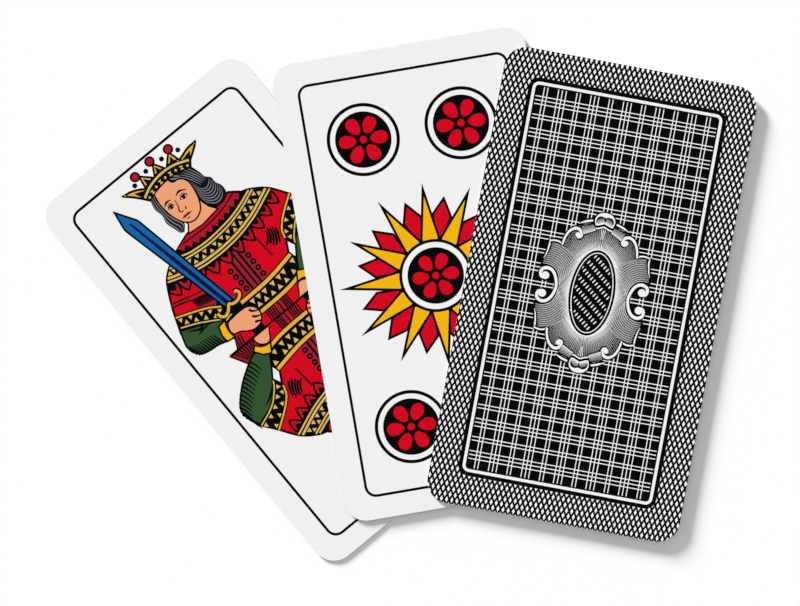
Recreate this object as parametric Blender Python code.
"""Three playing cards laid in an open fan: a king, a five of coins and a card lying face down.

Each card is made as card board is: a printed face ply and a printed back ply, pasted together over a thin
opaque core. The king lies on the table, the five lies on the king and the turned card lies on the five.
The fan closes by turning each card flat on the one below it, about an upright axis in front of the cards.

Units are metres with +Z up. The origin is on the table, under the middle of the fan's box.
"""

import cmath
import math

import bmesh
import bpy
from mathutils import Vector

MM = 0.001

# One card, in millimetres
CARD_WIDTH = 52.0
CARD_LENGTH = 94.0
CORNER_RADIUS = 4.5
CORNER_SEGMENTS = 10
PLY_THICKNESS = 0.135
CORE_THICKNESS = 0.02
PASTE_GAP = 0.005
AIR_GAP = 0.1

# The fan: how far each card's top leans to the left, in degrees, and the places of the
# card centres beside the king's, in millimetres, as x + yj
LEAN = {"king": 39.5, "five": 9.7, "turned": -10.5}
CENTRE = {"king": 0j, "five": 31.0 + 7.2j, "turned": 62.8 + 3.1j}
FACE_DOWN = {"turned"}

CARD_THICKNESS = 2 * PLY_THICKNESS + 2 * PASTE_GAP + CORE_THICKNESS
CARD_PITCH = CARD_THICKNESS + AIR_GAP

# Colour and roughness of each layer's paper
FINISHES = {
    "face_ply": ((0.86, 0.86, 0.85, 1.0), 0.45),
    "core": ((0.09, 0.09, 0.10, 1.0), 0.90),
    "back_ply": ((0.16, 0.16, 0.16, 1.0), 0.45),
}


def clear_scene():
    for old in list(bpy.data.objects):
        bpy.data.objects.remove(old)


def half_reach(lean):
    """Half the width and depth, as x + yj, of the upright box round a card that leans by this angle."""
    across = CARD_WIDTH / 2 - CORNER_RADIUS
    along = CARD_LENGTH / 2 - CORNER_RADIUS
    turn = math.radians(lean)
    cos, sin = abs(math.cos(turn)), abs(math.sin(turn))
    return complex(across * cos + along * sin, across * sin + along * cos) + CORNER_RADIUS * (1 + 1j)


def fan_middle():
    """The middle of the upright box round all the cards, beside the king's centre."""
    lows = [CENTRE[card] - half_reach(LEAN[card]) for card in CENTRE]
    highs = [CENTRE[card] + half_reach(LEAN[card]) for card in CENTRE]
    left, right = min(p.real for p in lows), max(p.real for p in highs)
    front, back = min(p.imag for p in lows), max(p.imag for p in highs)
    return complex(left + right, front + back) / 2


def place(card):
    """A card's centre in the part's own frame, as x + yj in millimetres."""
    return CENTRE[card] - fan_middle()


def fan_axis(lower, upper):
    """The point about which the upper card turns until it lies square on the lower one.

    A turn by the difference of their leans carries upper's centre to lower's. The point that this
    turn leaves where it is solves p = lower + turn * (p - upper).
    """
    turn = cmath.rect(1.0, math.radians(LEAN[lower] - LEAN[upper]))
    return (place(lower) - turn * place(upper)) / (1 - turn)


def on_table(point, height=0.0):
    return Vector((point.real, point.imag, height)) * MM


def finish(layer):
    colour, roughness = FINISHES[layer]
    material = bpy.data.materials.get(layer) or bpy.data.materials.new(layer)
    material.use_nodes = True
    shader = material.node_tree.nodes["Principled BSDF"]
    shader.inputs["Base Color"].default_value = colour
    shader.inputs["Roughness"].default_value = roughness
    shader.inputs["Metallic"].default_value = 0.0
    return material


def pivot(name, point, parent=None):
    """An empty on a hinge's axis, which carries the card that turns about it."""
    empty = bpy.data.objects.new(name, None)
    bpy.context.collection.objects.link(empty)
    empty.parent = parent
    empty.location = on_table(point)
    return empty


def sheet(name, layer, thickness):
    """One layer of a card: a rectangle with its corners rounded, given its thickness upwards."""
    shape = bmesh.new()
    bmesh.ops.create_grid(shape, x_segments=1, y_segments=1, size=0.5)
    bmesh.ops.scale(shape, vec=(CARD_WIDTH * MM, CARD_LENGTH * MM, 1.0), verts=shape.verts)
    bmesh.ops.bevel(
        shape,
        geom=shape.verts[:],
        offset=CORNER_RADIUS * MM,
        segments=CORNER_SEGMENTS,
        profile=0.5,
        affect="VERTICES",
    )
    mesh = bpy.data.meshes.new(name)
    shape.to_mesh(mesh)
    shape.free()
    mesh.materials.append(finish(layer))
    layer_object = bpy.data.objects.new(name, mesh)
    bpy.context.collection.objects.link(layer_object)
    thicken = layer_object.modifiers.new("thickness", "SOLIDIFY")
    thicken.thickness = thickness * MM
    thicken.offset = 1.0
    return layer_object


def card_layers(card):
    """The card's layers from the table up, as (layer, thickness, height of its underside in the card)."""
    plies = ["back_ply", "face_ply"]
    if card in FACE_DOWN:
        plies.reverse()
    core_height = PLY_THICKNESS + PASTE_GAP
    upper_height = core_height + CORE_THICKNESS + PASTE_GAP
    return [
        (plies[0], PLY_THICKNESS, 0.0),
        ("core", CORE_THICKNESS, core_height),
        (plies[1], PLY_THICKNESS, upper_height),
    ]


def card(name, level, axis=0j, parent=None):
    """One card at its level in the pile, its layers carried by the empty on the card's axis."""
    for layer, thickness, height in card_layers(name):
        layer_object = sheet(f"{name}_{layer}", layer, thickness)
        layer_object.parent = parent
        layer_object.location = on_table(place(name) - axis, level * CARD_PITCH + height)
        layer_object.rotation_euler.z = math.radians(LEAN[name])


def main():
    clear_scene()
    five_axis = fan_axis("king", "five")
    turned_axis = fan_axis("five", "turned")
    five_pivot = pivot("five_pivot", five_axis)
    turned_pivot = pivot("turned_pivot", turned_axis - five_axis, five_pivot)
    card("king", 0)
    card("five", 1, five_axis, five_pivot)
    card("turned", 2, turned_axis, turned_pivot)


main()
